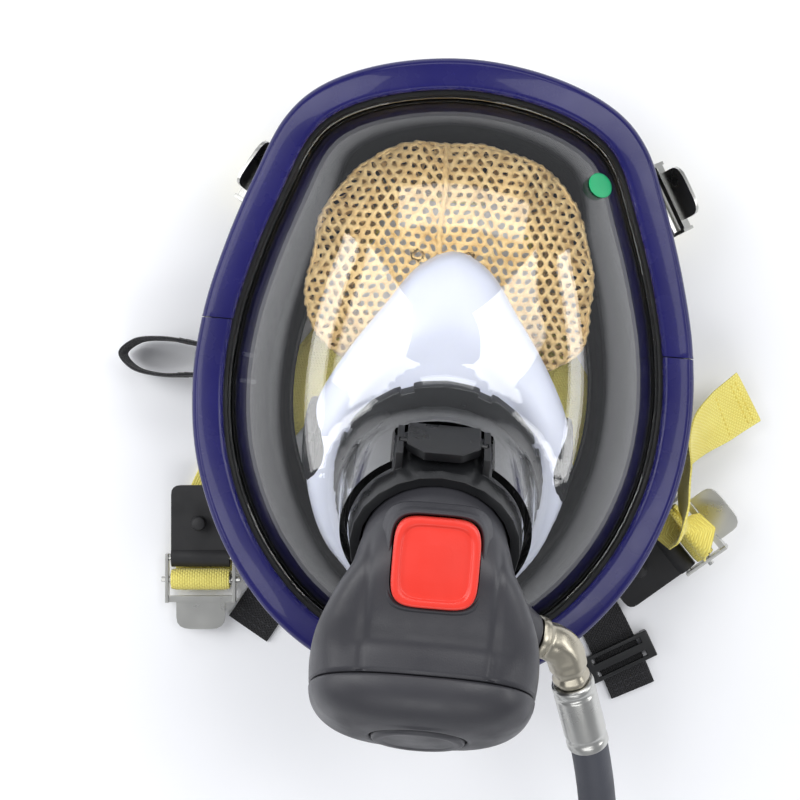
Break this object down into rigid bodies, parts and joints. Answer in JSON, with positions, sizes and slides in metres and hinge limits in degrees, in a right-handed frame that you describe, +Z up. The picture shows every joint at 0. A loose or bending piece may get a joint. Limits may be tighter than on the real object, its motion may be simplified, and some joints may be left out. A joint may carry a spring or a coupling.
{
  "type": "breathing apparatus mask",
  "caption": "Full-face breathing mask with a clear domed visor, plug-in demand valve, webbing head harness and air hose, lying on its back.",
  "frame": {"origin": "on the table, at the middle of the box of everything but the loose hose", "axes": "+Z up out of the visor, +Y towards the forehead, +X towards the wearer's left"},
  "size_m": [0.2754, 0.4908, 0.1709],
  "materials": {
    "clear_visor": "clear moulded polycarbonate, polished",
    "blue_frame": "glossy moulded navy blue",
    "black_rubber": "satin black",
    "black_plastic": "fine moulded black",
    "grey_rubber": "satin dark grey overmoulding",
    "silicone": "translucent whitish silicone",
    "red_plastic": "satin orange red",
    "steel": "stamped and tumbled steel",
    "nickel": "satin nickel plate",
    "brass": "turned",
    "yellow_web": "pale yellow woven aramid webbing",
    "tan_net": "tan knitted aramid net",
    "black_web": "black woven webbing",
    "hose_rubber": "dark grey rubber hose"
  },
  "bodies": {
    "mask": {"visor": "clear_visor", "frame_upper": "blue_frame", "frame_lower": "blue_frame", "frame_screw_right": "steel", "frame_screw_left": "steel", "face_seal": "black_rubber", "port_housing": "black_plastic", "port_nut": "black_plastic", "exhale_seat": "black_plastic", "exhale_spring": "steel", "exhale_cover": "black_plastic", "nose_cup": "silicone", "inhale_seat_right": "black_plastic", "inhale_seat_left": "black_plastic", "hose": "hose_rubber", "hose_coil": "hose_rubber", "hose_tail": "hose_rubber", "hose_connector": "nickel", "head_net": "tan_net", "right_cheek_strap": "yellow_web", "left_cheek_strap": "yellow_web", "right_temple_strap": "yellow_web", "left_temple_strap": "yellow_web", "top_strap": "yellow_web", "neck_strap_loop": "black_web", "neck_strap": "black_web", "right_cheek_tab": "black_rubber", "left_cheek_tab": "black_rubber", "right_temple_tab": "black_rubber", "left_temple_tab": "black_rubber", "top_tab": "black_rubber"},
    "latch": {"release_latch": "black_plastic"},
    "exhale_plate": {"exhale_disc": "silicone"},
    "inhale_right": {"inhale_flap_right": "silicone"},
    "inhale_left": {"inhale_flap_left": "silicone"},
    "valve": {"valve_housing": "grey_rubber", "end_cap": "grey_rubber", "inlet_valve": "brass", "poppet_spring": "steel", "plug": "black_plastic", "plug_seal_ring": "black_rubber", "inlet_elbow": "nickel", "hose_ferrule": "steel"},
    "reset": {"reset_button": "red_plastic"},
    "purge": {"purge_button": "grey_rubber"},
    "diaphragm_plate": {"diaphragm": "black_rubber"},
    "lever": {"demand_lever": "steel"},
    "poppet": {"inlet_poppet": "nickel"},
    "sleeve": {"connector_sleeve": "brass"},
    "right_cheek_clip": {"right_cheek_buckle": "steel", "right_cheek_strap_end": "yellow_web"},
    "left_cheek_clip": {"left_cheek_buckle": "steel", "left_cheek_strap_end": "yellow_web"},
    "right_cheek_roll": {"right_cheek_roller": "steel"},
    "left_cheek_roll": {"left_cheek_roller": "steel"},
    "right_temple_clip": {"right_temple_buckle": "steel"},
    "left_temple_clip": {"left_temple_buckle": "steel"},
    "top_clip": {"top_buckle": "steel"},
    "strap_slider": {"neck_strap_slider": "black_plastic"}
  },
  "joints": [
    {"name": "valve_pull", "type": "slide", "parent": "mask", "child": "valve", "axis": [0, -0.5299, 0.848], "range_m": [0, 0.04], "deforming": ["hose"]},
    {"name": "latch_press", "type": "hinge", "parent": "mask", "child": "latch", "pos_m": [-0.00037, -0.01981, 0.14052], "axis": [-1, 0, 0], "range_deg": [0, 8], "stiffness_Nm_per_rad": 0.3, "springref_deg": -5.73},
    {"name": "reset_press", "type": "slide", "parent": "valve", "child": "reset", "axis": [0, 0, -1], "range_m": [0, 0.0028], "stiffness_N_per_m": 500, "springref_m": -0.002},
    {"name": "purge_press", "type": "slide", "parent": "valve", "child": "purge", "axis": [0, 0.9295, -0.3688], "range_m": [0, 0.003], "stiffness_N_per_m": 500, "springref_m": -0.002},
    {"name": "diaphragm_move", "type": "slide", "parent": "valve", "child": "diaphragm_plate", "axis": [0, 0.9295, -0.3688], "range_m": [0, 0.003], "deforming": ["diaphragm"]},
    {"name": "lever_tilt", "type": "hinge", "parent": "valve", "child": "lever", "pos_m": [0.0023, -0.07729, 0.13351], "axis": [1, 0, 0], "range_deg": [0, 10.5]},
    {"name": "poppet_lift", "type": "slide", "parent": "valve", "child": "poppet", "axis": [-0.8904, 0.2501, 0.3802], "range_m": [0, 0.0007], "deforming": ["poppet_spring"]},
    {"name": "exhale_lift", "type": "slide", "parent": "mask", "child": "exhale_plate", "axis": [0, -0.7572, 0.6532], "range_m": [0, 0.002], "stiffness_N_per_m": 150, "springref_m": -0.003, "deforming": ["exhale_spring"]},
    {"name": "inhale_right_lift", "type": "slide", "parent": "mask", "child": "inhale_right", "axis": [0.9703, 0, -0.2419], "range_m": [0, 0.0015], "stiffness_N_per_m": 60, "springref_m": -0.002},
    {"name": "inhale_left_lift", "type": "slide", "parent": "mask", "child": "inhale_left", "axis": [-0.9703, 0, -0.2419], "range_m": [0, 0.0015], "stiffness_N_per_m": 60, "springref_m": -0.002},
    {"name": "right_cheek_buckle_tilt", "type": "hinge", "parent": "mask", "child": "right_cheek_clip", "pos_m": [-0.09676, -0.08064, 0.0075], "axis": [-0.9962, -0.0872, 0], "range_deg": [0, 50]},
    {"name": "left_cheek_buckle_tilt", "type": "hinge", "parent": "mask", "child": "left_cheek_clip", "pos_m": [0.10233, -0.05749, 0.01618], "axis": [0.6947, -0.7193, 0], "range_deg": [0, 25], "deforming": ["left_cheek_strap_end"]},
    {"name": "right_temple_buckle_tilt", "type": "hinge", "parent": "mask", "child": "right_temple_clip", "pos_m": [-0.0772, 0.08026, 0.02858], "axis": [-0.5, -0.866, 0], "range_deg": [0, 30]},
    {"name": "left_temple_buckle_tilt", "type": "hinge", "parent": "mask", "child": "left_temple_clip", "pos_m": [0.079, 0.08221, 0.02876], "axis": [-0.5, 0.866, 0], "range_deg": [0, 30]},
    {"name": "top_buckle_tilt", "type": "hinge", "parent": "mask", "child": "top_clip", "pos_m": [-0.00037, 0.12414, 0.02843], "axis": [-1, 0, 0], "range_deg": [0, 30]},
    {"name": "right_cheek_roller_spin", "type": "hinge", "parent": "right_cheek_clip", "child": "right_cheek_roll", "pos_m": [-0.09593, -0.0901, 0.0075], "axis": [0.9962, 0.0872, 0], "continuous": true},
    {"name": "left_cheek_roller_spin", "type": "hinge", "parent": "left_cheek_clip", "child": "left_cheek_roll", "pos_m": [0.10875, -0.05128, 0.01943], "axis": [-0.6947, 0.7193, 0], "continuous": true},
    {"name": "strap_slider_move", "type": "slide", "parent": "mask", "child": "strap_slider", "axis": [0.5, -0.866, 0], "range_m": [-0.01, 0.01]},
    {"name": "sleeve_pull", "type": "slide", "parent": "mask", "child": "sleeve", "axis": [-1, 0, 0], "range_m": [0, 0.004], "stiffness_N_per_m": 500, "springref_m": -0.002}
  ],
  "couplings": [
    {"joint": "diaphragm_move", "follows": "purge_press", "ratio": 1},
    {"joint": "lever_tilt", "follows": "purge_press", "rad_per_m": 60},
    {"joint": "poppet_lift", "follows": "purge_press", "ratio": 0.2}
  ]
}
